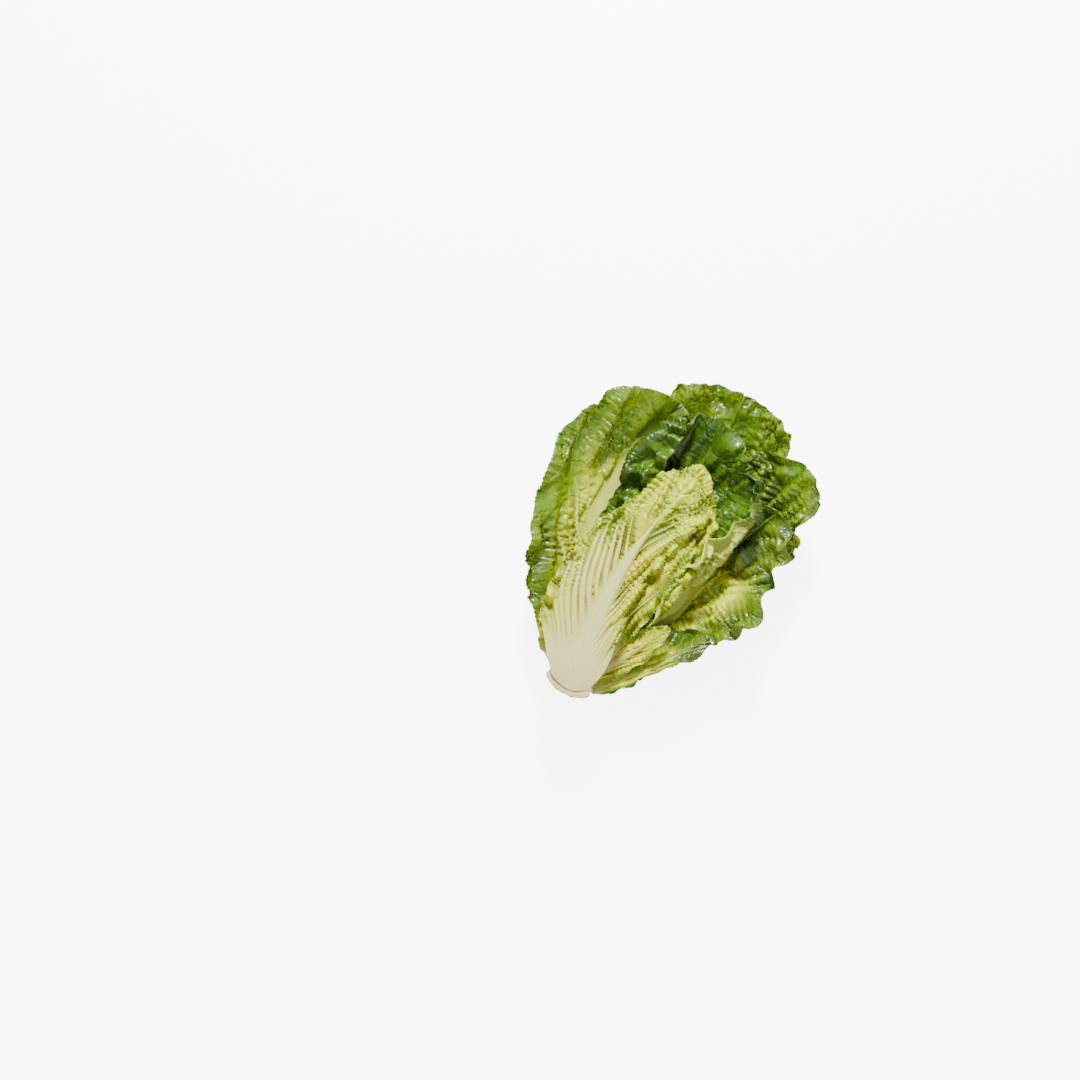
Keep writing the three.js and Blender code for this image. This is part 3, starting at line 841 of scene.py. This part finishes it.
ceiling = np.full(CELLS, 1e3)
for number, leaf in enumerate(LEAVES):
    surface = grown_leaf(leaf, number)
    pressed_under(surface, ceiling)
    surface["place"][..., 2] = np.maximum(surface["place"][..., 2], TABLE_CLEARANCE)
    if number == 0:  # the front leaf grows out of the stem
        sunk = 1.5 - 1.1 * ease(np.abs(np.linspace(-1, 1, COLUMNS)), .25, 1)
        surface["place"][..., 2] -= sunk * (1 - ease(surface["v"], 0, .12))
    piece = leaf_piece(leaf["name"] + "_blade", surface, MATERIALS[leaf["slot"]], seed=float(leaf["seed"]))
    belongs(piece, leaf["name"])

belongs(stem_piece("stem_pith", MATERIALS["stem"]), "stem_core")


# ---- floor, light and camera ----

def plain_surface(name, colour, roughness):
    material = bpy.data.materials.new(name)
    material.use_nodes = True
    shader = material.node_tree.nodes["Principled BSDF"]
    shader.inputs["Base Color"].default_value = (*colour, 1)
    shader.inputs["Roughness"].default_value = roughness
    return material


def backdrop_surface():
    """White paper that looks evenly bright to the camera, and lights the head no more than paper would."""
    material = plain_surface("white paper", (.9, .9, .9), .7)
    nodes, link = material.node_tree.nodes, material.node_tree.links.new
    glow, added = nodes.new("ShaderNodeEmission"), nodes.new("ShaderNodeAddShader")
    seen = nodes.new("ShaderNodeLightPath")
    link(seen.outputs["Is Camera Ray"], glow.inputs["Strength"])
    glow.inputs["Color"].default_value = (6, 6, 6, 1)
    link(nodes["Principled BSDF"].outputs[0], added.inputs[0])
    link(glow.outputs[0], added.inputs[1])
    link(added.outputs[0], nodes["Material Output"].inputs["Surface"])
    return material


bpy.ops.mesh.primitive_plane_add(size=60, location=(0, 0, 0))
floor = bpy.context.object
floor.name = "floor"
floor.data.materials.append(backdrop_surface())

IMAGE_UP = Vector((-sin(radians(29)), cos(radians(29)), 0))


def soft_lamp(name, place, aim, size, power):
    data = bpy.data.lights.new(name, "AREA")
    data.shape, data.size, data.energy = "DISK", size, power
    lamp = bpy.data.objects.new(name, data)
    lamp.location = place
    lamp.rotation_euler = (Vector(aim) - Vector(place)).to_track_quat("-Z", "Y").to_euler()
    bpy.context.scene.collection.objects.link(lamp)


target = Vector((0, 0, .03))
soft_lamp("key", target + IMAGE_UP * 1.1 + Vector((0, 0, 1.0)), target, .35, 80)
soft_lamp("fill", target - IMAGE_UP * .9 + Vector((0, 0, 1.2)), target, 1.2, 7)

world = bpy.data.worlds.new("pale room")
world.use_nodes = True
world.node_tree.nodes["Background"].inputs["Color"].default_value = (1, 1, 1, 1)
world.node_tree.nodes["Background"].inputs["Strength"].default_value = .55
bpy.context.scene.world = world

camera_data = bpy.data.cameras.new("camera")
camera_data.lens, camera_data.sensor_width = 85, 36
camera = bpy.data.objects.new("camera", camera_data)
camera.location = (np.array([-72.4, 82.5, CUT_HEIGHT + 1711]) + SHIFT) / 1000
camera.rotation_euler = (0, 0, radians(29))
bpy.context.scene.collection.objects.link(camera)
bpy.context.scene.camera = camera
